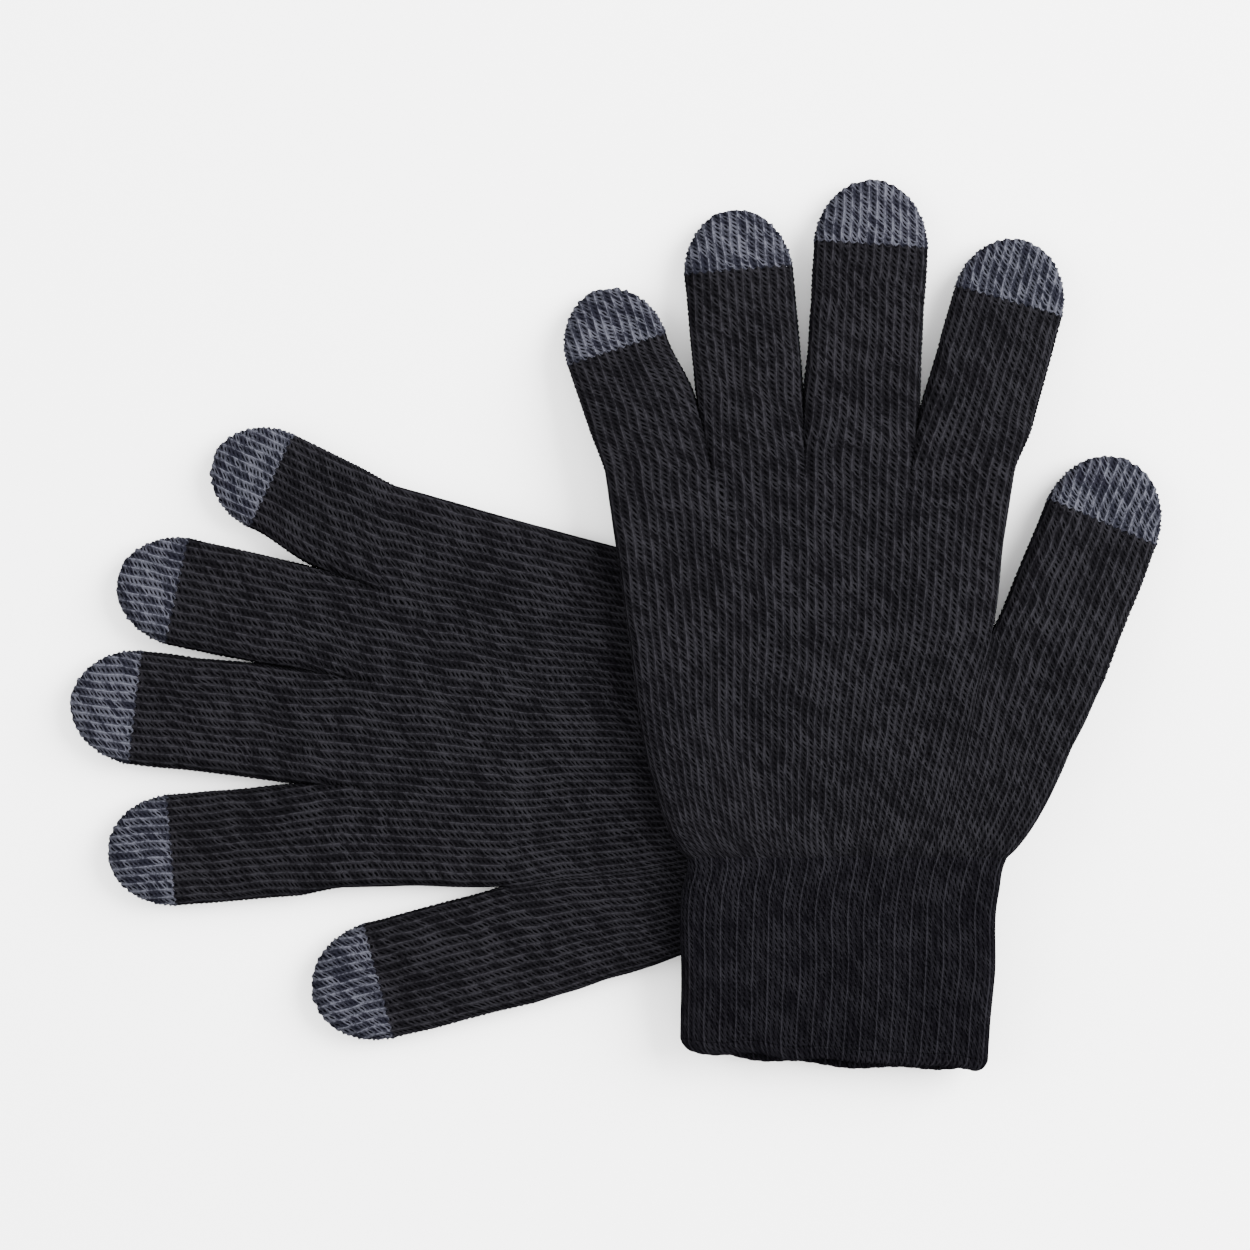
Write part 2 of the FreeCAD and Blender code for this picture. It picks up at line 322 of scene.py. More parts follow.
class Ripple:
    """A fixed sum of gentle waves, which keeps cloth from looking machined."""

    def __init__(
        self, seed: int, waves: int = 14, shortest: float = 9.0, longest: float = 42.0
    ) -> None:
        draw = np.random.default_rng(seed)
        angles = draw.uniform(0, math.tau, waves)
        lengths = draw.uniform(shortest, longest, waves)
        self.x = np.cos(angles) * math.tau / lengths
        self.y = np.sin(angles) * math.tau / lengths
        self.phase = draw.uniform(0, math.tau, waves)
        self.scale = math.sqrt(2 / waves)

    def __call__(self, x: Array, y: Array) -> Array:
        """Return the waves' height, mostly between -1 and 1.

        Args:
            x: plan places across, in millimetres.
            y: plan places along.

        Returns:
            The height at each place.
        """
        total = np.zeros(np.shape(x))
        for kx, ky, phase in zip(self.x, self.y, self.phase):
            total += np.sin(kx * x + ky * y + phase)
        return total * self.scale


PUFF = Ripple(3)
SWAY = Ripple(11, shortest=14.0, longest=34.0)
DRIFT_U = Ripple(21, shortest=7.0, longest=20.0)
DRIFT_V = Ripple(22, shortest=6.0, longest=18.0)


def knit_relief(u: Array, v: Array) -> Array:
    """Return the height of the knit: plain above the wrist, ribbed below it.

    Args:
        u: wales across, three of which make one rib.
        v: courses above the wrist.

    Returns:
        The height, from about -0.6 to 0.6.
    """
    across = u - np.floor(u)
    stagger = STITCH.stagger * np.sin(STITCH.stagger_turn * np.floor(u))
    wave = 0.5 + 0.5 * np.cos(math.tau * (v + STITCH.slant * across + stagger))
    gap = np.exp(-(((across - STITCH.gap_place) / STITCH.gap_width) ** 2)) * wave**STITCH.gap_power
    near, far = (across - STITCH.leg_place - turn for turn in (0, 1))
    leg = np.exp(-((near / STITCH.leg_width) ** 2)) + np.exp(-((far / STITCH.leg_width) ** 2))
    ribbed = 1 - smoothstep(STITCH.rib_full, STITCH.rib_start, v)
    cord = ribbed * (0.5 + 0.5 * np.cos(math.tau * (u / 3 - 0.2)))
    plain = STITCH.base - STITCH.gap_depth * gap + STITCH.leg_height * leg
    return plain + 0.7 * cord - 0.35 * ribbed


@dataclass
class Patch:
    """A grid of plan points with their depth inside the outline and stitches."""

    x: np.ndarray
    y: np.ndarray
    depth: np.ndarray
    u: np.ndarray
    v: np.ndarray
    drop: np.ndarray
    sink: np.ndarray | float = 0.0

    def drift(self) -> "Patch":
        """Let the stitches wander a little, as real ones do."""
        self.u = self.u + 0.05 * DRIFT_U(self.x, self.y)
        self.v = self.v + 0.2 * DRIFT_V(self.x, self.y)
        return self


class Glove:
    """One glove's place in the frame, and the outlines that its pieces share."""

    def __init__(self, side: Side) -> None:
        self.side = side
        self.pose = POSES[side]
        joints = {joint["name"]: joint for joint in frame["record"]["behaviour"]["joints"]}
        across = Vector(joints[f"{side.label}_middle_bend"]["axis"])
        self.right = np.array(across.normalized())
        self.ahead = np.array(Vector((0, 0, 1)).cross(across).normalized())
        knuckle = np.array(joints[f"{side.label}_middle_bend"]["pos_m"])
        middle = (HAND.roots[2] + HAND.roots[3]) / 2 * side.value
        self.origin = knuckle - (middle * self.right + HAND.palm * self.ahead) * MM
        self.origin[2] = self.pose.lifted * MM

    def world(self, x: Array, y: Array, z: Array) -> Array:
        """Return frame points in metres for plan points in millimetres.

        Nothing goes below the table, so the undersides lie flat on it.

        Args:
            x: places across, towards the thumb.
            y: places along, towards the fingers.
            z: heights above the glove's underside.

        Returns:
            The points in the frame, in metres.
        """
        place = (self.side.value * x)[..., None] * self.right + y[..., None] * self.ahead
        place = self.origin + place * MM
        place[..., 2] = np.maximum(place[..., 2] + z * MM, 0.0)
        return place

    def point(self, x: float, y: float, z: float) -> tuple[float, ...]:
        """Return one frame point, as a tuple."""
        return tuple(self.world(np.array(x), np.array(y), np.array(z)))

    def root(self, digit: Digit) -> tuple[float, float]:
        """Return the middle of a stall's root in the plan.

        Args:
            digit: the stall.

        Returns:
            The place across and along, in millimetres.
        """
        if digit is Digit.THUMB:
            angle = math.radians(HAND.root_angle)
            reach = HAND.thumb_root / 2
            along, down = reach * math.cos(angle), reach * math.sin(angle)
            return HAND.crotch + along, HAND.crotch_height - down
        order = FINGERS.index(digit)
        return (HAND.roots[order] + HAND.roots[order + 1]) / 2, HAND.palm

    def axes(self, digit: Digit) -> tuple[Array, Array]:
        """Return a stall's direction and the direction across it, in the plan.

        Args:
            digit: the stall.

        Returns:
            Two unit vectors.
        """
        lean = math.radians(self.pose.leans[digit])
        east, north = math.sin(lean), math.cos(lean)
        return np.array([east, north]), np.array([north, -east])

    def slope(self, digit: Digit) -> float:
        """Return how far a stall drops for each millimetre of its length."""
        plan = DIGITS[digit]
        return self.pose.lifted / (plan.stall + 0.6 * plan.tip)

    def boundary(self, digit: Digit, outer: int, s: Array) -> tuple[Array, float]:
        """Return where a stall's neighbour limits it, across the stall.

        Args:
            digit: the stall.
            outer: -1 for the side of the little finger, 1 for the side of the thumb.
            s: distances along the stall from its root.

        Returns:
            The limit at each distance, and how far along the stalls touch.
        """
        order = FINGERS.index(digit) + (1 if outer > 0 else 0)
        along, across = self.axes(digit)
        offset = np.array([HAND.roots[order], HAND.palm]) - np.array(self.root(digit))
        other = FINGERS[order - 1 if outer < 0 else order]
        mean = (self.pose.leans[other] + self.pose.leans[digit]) / 2
        tilt = math.tan(math.radians(mean - self.pose.leans[digit]))
        return offset @ across + (s - offset @ along) * tilt, self.pose.creases[order - 1]

    def half_width(self, digit: Digit, outer: int, s: Array) -> Array:
        """Return a stall's half width on one side at distances from its root."""
        plan = DIGITS[digit]
        dome = np.clip((s - (plan.length - plan.dome)) / plan.dome, 0, 1)
        own = plan.belly / 2 * np.sqrt(1 - dome**2)
        order = FINGERS.index(digit) if digit in FINGERS else None
        if order is None or (order == 0 and outer < 0) or (order == 3 and outer > 0):
            root = HAND.thumb_root / 2
            if order is not None:
                spans = HAND.roots[order + 1] - HAND.roots[order]
                root = spans / 2 * math.cos(math.radians(self.pose.leans[digit]))
            return own + (root - plan.belly / 2) * (1 - smoothstep(0, 12, s))
        limit, crease = self.boundary(digit, outer, s)
        limit = limit * outer
        end = self.boundary(digit, outer, np.array(crease))[0] * outer
        gap = (end - plan.belly / 2) * (1 - smoothstep(crease, crease + 15, s))
        return np.where(s < crease, limit, own + gap)


class Weaver:
    """Turns patches of knit into closed, relieved and laid meshes."""

    def __init__(
        self, glove: Glove, amount: float = GAUGE.relief, loops: float = GAUGE.loops
    ) -> None:
        self.glove = glove
        self.amount = amount
        self.loops = loops

    def surface(self, patch: Patch, face: int, half: float = GAUGE.half_depth) -> Array:
        """Return a sheet's points in the plan: face is 1 for the palm, -1 for the back.

        Args:
            patch: the sheet's grid.
            face: 1 or -1.
            half: the half thickness well inside.

        Returns:
            The points, in millimetres.
        """
        sway = 0.1 * SWAY(patch.x, patch.y + 40 * face)
        puff = 0.28 * PUFF(patch.x, patch.y) * np.clip(patch.depth / 6, 0, 1)
        height = half + face * swell(patch.depth, half)
        height = height + (puff if face > 0 else 0)
        height = height - face * patch.sink * np.clip(patch.depth / GAUGE.edge_roll, 0, 1)
        return np.stack([patch.x + sway, patch.y, height - patch.drop], axis=-1)

    def relieve(
        self, points: Array, u: Array, v: Array, closed: bool, flip: bool,
        edge: Array | float = 0.0,
    ) -> Array:
        """Push points out along their normals by the stitches' height.

        Args:
            points: rows and columns of points, in millimetres.
            u: stitch columns.
            v: stitch rows.
            closed: whether the last column meets the first.
            flip: whether the rows run the other way round.
            edge: how near each point is to the outline, where loops stand out.

        Returns:
            The moved points.
        """
        if closed:
            ring = np.concatenate([points[:, -1:], points, points[:, :1]], axis=1)
            across = (ring[:, 2:] - ring[:, :-2]) / 2
        else:
            across = np.gradient(points, axis=1)
        along = np.gradient(points, axis=0)
        normal = np.cross(across, along)
        length = np.linalg.norm(normal, axis=-1, keepdims=True)
        normal = normal / np.maximum(length, 1e-9) * (-1 if flip else 1)
        loops = np.cos(math.tau * v) * (0.65 + 0.35 * np.cos(math.tau * 0.37 * v + u))
        height = self.amount * knit_relief(u, v) + self.loops * edge * loops
        return points + normal * height[..., None]

    def mesh(
        self, name: str, points: Array, u: Array, v: Array, closed: bool,
        flip: bool = False, weld: bool = False, tile: tuple = (0, 0, 1, 1),
    ) -> Piece:
        """Make a mesh object from a grid of plan points.

        Args:
            name: the object's name.
            points: rows and columns of points, in millimetres.
            u: stitch columns, with one more column than the points if closed.
            v: stitch rows, of the same shape as u.
            closed: whether the last column meets the first.
            flip: whether the rows run the other way round.
            weld: whether to merge points that coincide, as at a pole.
            tile: the part of the unit square that the bake map fills.

        Returns:
            The new object.
        """
        rows, columns = points.shape[:2]
        place = self.glove.world(points[..., 0], points[..., 1], points[..., 2])
        wide = columns + 1 if closed else columns
        row, column = np.meshgrid(np.arange(rows - 1), np.arange(wide - 1), indexing="ij")
        corners = [(row, column), (row, column + 1), (row + 1, column + 1), (row + 1, column)]
        if flip != (self.glove.side is Side.LEFT):
            corners.reverse()
        loops = np.stack([r * columns + c % columns for r, c in corners], axis=-1).reshape(-1)
        spots = np.stack([r * wide + c for r, c in corners], axis=-1).reshape(-1)
        mesh = bpy.data.meshes.new(name)
        mesh.vertices.add(rows * columns)
        mesh.vertices.foreach_set("co", place.astype(np.float32).reshape(-1))
        mesh.loops.add(len(loops))
        mesh.loops.foreach_set("vertex_index", loops.astype(np.int32))
        mesh.polygons.add(len(loops) // 4)
        mesh.polygons.foreach_set("loop_start", np.arange(0, len(loops), 4, dtype=np.int32))
        mesh.polygons.foreach_set("use_smooth", np.ones(len(loops) // 4, dtype=bool))
        knit = np.stack([u, v], axis=-1).reshape(-1, 2)[spots]
        mesh.uv_layers.new(name="knit").data.foreach_set("uv", knit.astype(np.float32).reshape(-1))
        east, north = np.meshgrid(np.linspace(0, 1, wide), np.linspace(0, 1, rows))
        left, low, width, height = tile
        bake = np.stack([left + width * east, low + height * north], axis=-1).reshape(-1, 2)[spots]
        layer = mesh.uv_layers.new(name="OFBake")
        layer.data.foreach_set("uv", bake.astype(np.float32).reshape(-1))
        mesh.update(calc_edges=True)
        if weld:
            work = bmesh.new()
            work.from_mesh(mesh)
            bmesh.ops.remove_doubles(work, verts=work.verts, dist=1e-6)
            work.to_mesh(mesh)
            work.free()
        piece = bpy.data.objects.new(name, mesh)
        bpy.context.scene.collection.objects.link(piece)
        LOG.info("%s: %d faces", name, len(mesh.polygons))
        return piece

    def tube(self, name: str, patch: Patch, weld: bool = False) -> Piece:
        """Make a tube from one patch: its palm sheet, then its back sheet returning.

        Args:
            name: the object's name.
            patch: the grid of either sheet.
            weld: whether the last row closes to a point.

        Returns:
            The new object.
        """
        front = self.surface(patch, 1)
        back = self.surface(patch, -1)[:, -2:0:-1]
        points = np.concatenate([front, back], axis=1)
        turn = 2 * patch.u[:, -1:] - patch.u[:, -2::-1]
        u = np.concatenate([patch.u, turn], axis=1)
        v = np.concatenate([patch.v, patch.v[:, -2::-1]], axis=1)
        edge = np.exp(-((patch.depth / 1.1) ** 2))
        edge = np.concatenate([edge, edge[:, -2:0:-1]], axis=1)
        points = self.relieve(points, u[:, :-1], v[:, :-1], True, False, edge)
        if weld:
            points[-1] = points[-1].mean(axis=0)
        return self.mesh(name, points, u, v, True, weld=weld)


def front_wales(x: Array) -> Array:
    """Return the palm's stitch columns where the fingers start."""
    width = HAND.roots[-1] - HAND.roots[0]
    return GAUGE.palm_wales * unrolled(x - HAND.roots[0], width)


class Hand:
    """The palm and back of a glove, with the gusset that widens it to the thumb."""

    def __init__(self, glove: Glove) -> None:
        self.glove = glove
        self.weaver = Weaver(glove)
        self.columns = sum(DIGITS[digit].wales for digit in FINGERS) * GAUGE.columns
        self.thumb_columns = DIGITS[Digit.THUMB].wales * GAUGE.columns

    def front_row(self) -> Array:
        """Return the finger roots' columns, which the stalls start from.

        Returns:
            The columns' places across the palm, in millimetres.
        """
        pieces = []
        for order, digit in enumerate(FINGERS):
            start, end = HAND.roots[order], HAND.roots[order + 1]
            row = start + spread(end - start, DIGITS[digit].wales * GAUGE.columns)
            pieces.append(row if order == 0 else row[1:])
        return np.concatenate(pieces)

    def depth(self, x: Array, y: Array, left: Array, right: Array) -> Array:
        """Return how far points lie inside the hand's outline and from its crotches.

        Args:
            x: plan places across, in millimetres.
            y: plan places along.
            left: the outline on the little finger's side.
            right: the outline on the thumb's side.

        Returns:
            The distances, never below 0.
        """
        depth = np.minimum(x - left, (right - x) * 0.96)
        corners = [(root, HAND.palm) for root in HAND.roots[1:-1]]
        corners.append((HAND.crotch, HAND.crotch_height))
        for corner_x, corner_y in corners:
            depth = np.minimum(depth, np.hypot(x - corner_x, y - corner_y) + GAUGE.crotch_rise)
        return np.maximum(depth, 0)

    def heel(self) -> Patch:
        """Return the patch from the wrist to the thumb's root and the palm's middle.

        Returns:
            The patch, which widens towards the thumb.
        """
        rows = int(HAND.crotch_height / GAUGE.course) * GAUGE.rows
        angle = math.radians(HAND.root_angle)
        palm_u = np.linspace(0, GAUGE.palm_wales, self.columns + 1)
        thumb_u = np.linspace(0, DIGITS[Digit.THUMB].wales, self.thumb_columns + 1)[1:]
        wales = np.concatenate([palm_u, GAUGE.palm_wales + thumb_u])
        share = (wales / wales[-1])[None]
        left = HAND.little_edge[0][1]
        base_x = left + spread(HAND.gusset_edge[0][1] - left, share[0])
        edge = smooth_line(HAND.little_edge, np.array(HAND.crotch_height))
        palm_x = edge + spread(HAND.crotch - edge, self.columns)
        root = spread(HAND.thumb_root, self.thumb_columns)[1:]
        top_x = np.concatenate([palm_x, HAND.crotch + root * math.cos(angle)])
        level = np.full(len(palm_x), HAND.crotch_height)
        top_y = np.concatenate([level, HAND.crotch_height - root * math.sin(angle)])
        way = np.linspace(0, 1, rows + 1)[:, None]
        y = way * top_y
        left_x = smooth_line(HAND.little_edge, (way * top_y[0])[:, 0])[:, None]
        right_x = smooth_line(HAND.gusset_edge, (way * top_y[-1])[:, 0])[:, None]
        straight = (1 - way) * base_x + way * top_x
        x = straight + (1 - share) * (left_x - straight[:, :1])
        x = x + share * (right_x - straight[:, -1:])
        edges = smooth_line(HAND.little_edge, y), smooth_line(HAND.gusset_edge, y)
        sink = 0.4 * (1 - smoothstep(0, 2.2, y))
        v = way * HAND.crotch_height / GAUGE.course + 0 * share
        patch = Patch(x, y, self.depth(x, y, *edges), wales[None] + 0 * way, v, 0 * x, sink)
        patch.drift()
        patch.x = patch.x + sink * (1 - 2 * share)
        return patch

    def palm(self) -> Patch:
        """Return the patch from the thumb's crotch to the finger roots.

        Returns:
            The patch, whose last row holds the stalls' first columns.
        """
        rows = int((HAND.palm - HAND.crotch_height) / GAUGE.course) * GAUGE.rows
        way = np.linspace(0, 1, rows + 1)[:, None]
        share = np.linspace(0, 1, self.columns + 1)[None]
        y = HAND.crotch_height + way * (HAND.palm - HAND.crotch_height) + 0 * share
        left = smooth_line(HAND.little_edge, y[:, :1])
        right = smooth_line(HAND.index_edge, y[:, :1])
        base = left[0, 0] + spread(right[0, 0] - left[0, 0], self.columns)
        front = self.front_row()
        straight = (1 - way) * base + way * front
        x = straight + (1 - share) * (left - straight[:, :1]) + share * (right - straight[:, -1:])
        u = (1 - way) * share * GAUGE.palm_wales + way * front_wales(front)
        return Patch(x, y, self.depth(x, y, left, right), u, y / GAUGE.course, 0 * x).drift()

    def build(self) -> list[Piece]:
        """Make the palm and the back, each of a heel and an upper part in one mesh.

        Returns:
            The palm's object and the back's.
        """
        patches = self.heel(), self.palm()
        tiles = (0, 0, 1, 0.57), (0, 0.6, 1, 0.4)
        sheets = {face: [self.sheet(patch, face) for patch in patches] for face in (1, -1)}
        for half in range(2):
            for column in (0, -1):
                middle = (sheets[1][half][:, column] + sheets[-1][half][:, column]) / 2
                sheets[1][half][:, column] = sheets[-1][half][:, column] = middle
        pieces = []
        for name, face in (("palm", 1), ("back", -1)):
            heel, palm = sheets[face]
            heel[-1, :self.columns + 1] = palm[0] = (heel[-1, :self.columns + 1] + palm[0]) / 2
            label = f"{self.glove.side.label}_hand_{name}"
            halves = [
                self.weaver.mesh(label, points, patch.u, patch.v, False, face < 0, tile=tile)
                for points, patch, tile in zip(sheets[face], patches, tiles)
            ]
            pieces.append(join(halves))
        return pieces

    def sheet(self, patch: Patch, face: int) -> Array:
        """Return the relieved points of one face of a patch."""
        points = self.weaver.surface(patch, face)
        return self.weaver.relieve(points, patch.u, patch.v, False, face < 0)


def join(parts: list[Piece]) -> Piece:
    """Join objects into the first one and weld the seam between them.

    Args:
        parts: the objects, of which the first one stays.

    Returns:
        The joined object.
    """
    bpy.ops.object.select_all(action="DESELECT")
    for part in parts:
        part.select_set(True)
    bpy.context.view_layer.objects.active = parts[0]
    bpy.ops.object.join()
    work = bmesh.new()
    work.from_mesh(parts[0].data)
    bmesh.ops.remove_doubles(work, verts=work.verts, dist=1e-6)
    work.to_mesh(parts[0].data)
    work.free()
    return parts[0]


class Stall:
    """One finger or thumb: its plain tube and its domed tip in conductive yarn."""

    def __init__(self, glove: Glove, digit: Digit) -> None:
        self.glove = glove
        self.digit = digit
        self.plan = DIGITS[digit]
        self.weaver = Weaver(glove)

    def patch(self, stations: Array, square: Array, ends: Array) -> Patch:
        """Return the patch between two heights of the stall.

        Args:
            stations: distances along the stall, one for each row.
            square: how far each row is square to the stall, from 0 at the root to 1.
            ends: how far each row follows the zigzag where the yarns change.

        Returns:
            The patch, with its columns evenly spread over the surface; its
            stitches are left as the distances across and along the stall.
        """
        low = -self.glove.half_width(self.digit, -1, stations)
        high = self.glove.half_width(self.digit, 1, stations)
        count = self.plan.wales * GAUGE.columns
        across = low[:, None] + spread(high - low, count)
        lean = self.glove.pose.leans[self.digit]
        turn = lean - (HAND.root_angle if self.digit is Digit.THUMB else 0)
        skew = math.tan(math.radians(turn)) * (1 - square)[:, None]
        teeth = self.wales(Patch(across, across, across, across, across, across), stations + 30)
        teeth = np.abs(teeth - np.floor(teeth) - 0.5) * 4 - 1
        along = stations[:, None] + across * skew + GAUGE.tooth * teeth * ends[:, None]
        start = self.plan.length - self.plan.dome
        half = self.plan.belly / 2
        reach = np.hypot(across / half, np.maximum(along - start, 0) / self.plan.dome)
        round_depth = (1 - reach) * half
        near = [1 - smoothstep(0, length, stations)[:, None] for length in self.touching()]
        rise = [GAUGE.crotch_rise * share for share in near]
        side_depth = np.minimum(across - low[:, None] + rise[0], high[:, None] - across + rise[1])
        depth = np.where(along > start, np.minimum(round_depth, side_depth + 0.4), side_depth)
        root = np.array(self.glove.root(self.digit))
        ahead, sideways = self.glove.axes(self.digit)
        x = root[0] + along * ahead[0] + across * sideways[0]
        y = root[1] + along * ahead[1] + across * sideways[1]
        drop = self.glove.slope(self.digit) * (np.hypot(np.maximum(along, 0), 4.0) - 4.0)
        return Patch(x, y, np.maximum(depth, 0), across, along, drop)

    def touching(self) -> tuple[float, float]:
        """Return how far the stall touches its neighbours, on its two sides.

        Returns:
            The lengths on the little finger's side and the thumb's side.
        """
        if self.digit is Digit.THUMB:
            return 4.0, 0.1
        lengths = (0.1, *self.glove.pose.creases, 0.1)
        order = FINGERS.index(self.digit)
        return lengths[order], lengths[order + 1]

    def wales(self, patch: Patch, stations: Array) -> Array:
        """Return the stitch columns, which leave the palm's and even out.

        Args:
            patch: the stall's grid.
            stations: distances along the stall, one for each row.

        Returns:
            The stitch column at each point.
        """
        own = np.linspace(-0.5, 0.5, patch.x.shape[1])[None] * self.plan.wales
        if self.digit is Digit.THUMB:
            return GAUGE.palm_wales + self.plan.wales / 2 + own + 0 * patch.x
        order = FINGERS.index(self.digit)
        width = HAND.roots[order + 1] - HAND.roots[order]
        root = HAND.roots[order] + spread(width, self.plan.wales * GAUGE.columns)
        middle = front_wales(np.array(self.glove.root(self.digit)[0]))
        settled = smoothstep(0, 18, stations)[:, None]
        return (1 - settled) * front_wales(root) + settled * (middle + own)

    def tip_wales(self, across: Array, wales: Array) -> Array:
        """Return the tip's stitch columns, which run parallel and end at the outline.

        Args:
            across: distances across the stall.
            wales: the stitch columns where the tip starts.

        Returns:
            The stitch column at each point.
        """
        low, high = across[0, 0], across[0, -1]
        span = wales[0, -1] - wales[0, 0]
        return wales[0, 0] + span * unrolled(across - low, high - low)

    def build(self) -> tuple[Piece, Piece]:
        """Make the tube and its tip.

        Returns:
            The tube's object and the tip's.
        """
        name = f"{self.glove.side.label}_{self.digit.value}"
        base = HAND.crotch_height if self.digit is Digit.THUMB else HAND.palm
        rows = int(self.plan.stall / GAUGE.course) * GAUGE.rows
        stations = np.linspace(0, self.plan.stall, rows + 1)
        square = smoothstep(0, 0.7 * self.plan.stall, stations)
        ends = smoothstep(self.plan.stall - 2.5, self.plan.stall, stations)
        patch = self.patch(stations, square, ends)
        patch.v = (base + stations[:, None]) / GAUGE.course + 0 * patch.u
        patch.u = self.wales(patch, stations)
        tube = self.weaver.tube(f"{name}_tube", patch.drift())
        start = self.plan.length - self.plan.dome
        angle = math.asin((self.plan.stall - start) / self.plan.dome)
        turns = np.linspace(angle, math.pi / 2, int(1.3 * self.plan.tip) * GAUGE.rows + 1)
        stations = start + self.plan.dome * np.sin(turns)
        ends = 1 - smoothstep(self.plan.stall, self.plan.stall + 2.5, stations)
        patch = self.patch(stations, np.ones(len(stations)), ends)
        across = patch.u
        patch.v = base / GAUGE.course + stations[:, None] / GAUGE.tip_course + 0 * across
        patch.u = self.tip_wales(across, self.wales(patch, stations[:1] + 30))
        tip = Weaver(self.glove, 0.34, 0.32).tube(f"{name}_cap", patch.drift(), weld=True)
        return tube, tip


class Cuff:
    """The ribbed cuff, the welt at its end and the elastic threads inside it."""

    def __init__(self, glove: Glove) -> None:
        self.glove = glove

    def length(self, x: Array) -> Array:
        """Return how far the ribs run below the wrist at a place across the cuff."""
        share = (x - CUFF.little_edge[0][1]) / (CUFF.thumb_edge[0][1] - CUFF.little_edge[0][1])
        return CUFF.short_side + (CUFF.long_side - CUFF.short_side) * np.clip(share, 0, 1)

    def ring(self, stations: Array, inset: Array, count: int, trim: float = 0.0) -> Array:
        """Return closed rows of points round the cuff.

        Args:
            stations: for each row, its place from 0 at the wrist to 1 at the welt,
                and beyond 1 the millimetres past it.
            inset: for each row, how far it lies inside the outer face.
            count: how many columns lie across one sheet.
            trim: how much the corners of the welt are rounded.

        Returns:
            The points, in the plan.
        """
        stations = np.asarray(stations, float)[:, None]
        inset = np.asarray(inset, float)[:, None]
        middle = CUFF.short_side + CUFF.long_side
        level = -np.clip(stations, -1, 1) * middle / 2
        past = np.maximum(stations - 1, 0)
        left = smooth_line(CUFF.little_edge, level) + inset + trim * past**2
        right = smooth_line(CUFF.thumb_edge, level) - inset - trim * past**2
        across = spread((right - left)[:, 0], count)
        x = left + across
        depth = np.minimum(across, (right - left) - across)
        half = GAUGE.half_depth - inset
        rise = swell(depth, half)
        sheets = []
        for face in (1, -1):
            y = -np.clip(stations, -1, 1) * self.length(x) - past
            if face < 0:
                bow = np.sin(math.pi * across / (right - left)) ** 0.7
                y = y - 2.1 * np.clip(stations, 0, 1) ** 6 * bow
            wave = 0.25 * SWAY(1.6 * x, 0 * x + 60 * face) * np.clip(stations, 0, 1) ** 4
            z = GAUGE.half_depth + face * rise + 0.2 * PUFF(x, y) * np.clip(depth / 6, 0, 1)
            y = y + wave
            x_face = x + 0.1 * SWAY(x, y)
            z = z - self.droop(y)
            sheets.append(np.stack([x_face, y, z], axis=-1))
        return np.concatenate([sheets[0], sheets[1][:, -2:0:-1]], axis=1)

    def droop(self, y: Array) -> Array:
        """Return how far the upper glove's cuff hangs where nothing lies under it.

        Args:
            y: plan places along the cuff.

        Returns:
            The drop, in millimetres.
        """
        if not self.glove.pose.lifted:
            return 0 * y
        low = -CUFF.droop_start - CUFF.droop_length
        return CUFF.droop * smoothstep(0, 1, (y + CUFF.droop_start) / (low + CUFF.droop_start))

    def stitches(self, points: Array, courses: Array) -> tuple[Array, Array]:
        """Return the stitch grid round the cuff for rows at these courses.

        Args:
            points: closed rows of points.
            courses: each row's course.

        Returns:
            The stitch columns and the stitch rows.
        """
        columns = points.shape[1]
        total = GAUGE.palm_wales + DIGITS[Digit.THUMB].wales
        u = np.linspace(0, 2 * total, columns + 1)[None] + 0 * courses[:, None]
        x = np.concatenate([points[..., 0], points[:, :1, 0]], axis=1)
        y = np.concatenate([points[..., 1], points[:, :1, 1]], axis=1)
        return u + 0.03 * DRIFT_U(x, y), courses[:, None] + 0.2 * DRIFT_V(x, y)

    def build_ribs(self) -> Piece:
        """Make the ribbed tube: outer face, lower edge and inner face.

        Returns:
            The new object.
        """
        weaver = Weaver(self.glove)
        count = (GAUGE.palm_wales + DIGITS[Digit.THUMB].wales) * GAUGE.columns
        rows = int(CUFF.long_side / GAUGE.cuff_course) * GAUGE.rows
        start = -CUFF.tuck / CUFF.long_side
        outer = np.linspace(start, 1, rows + 1)
        sunk = 0.4 * (1 - smoothstep(start, 0.01, outer))
        points = self.ring(outer, sunk, count)
        u, v = self.stitches(points, -outer * CUFF.long_side / GAUGE.cuff_course)
        points = weaver.relieve(points, u[:, :-1], v[:, :-1], True, True)
        inner = np.linspace(1, start, 14)
        wall = self.ring(inner, np.full(len(inner), CUFF.wall), count)
        points = np.concatenate([points, wall, points[:1]])
        back_u, back_v = self.stitches(wall, -inner * CUFF.long_side / GAUGE.cuff_course)
        u = np.concatenate([u, back_u, u[:1]])
        v = np.concatenate([v, back_v, v[:1]])
        name = f"{self.glove.side.label}_cuff_ribs"
        return weaver.mesh(name, points, u, v, True, True, weld=True)

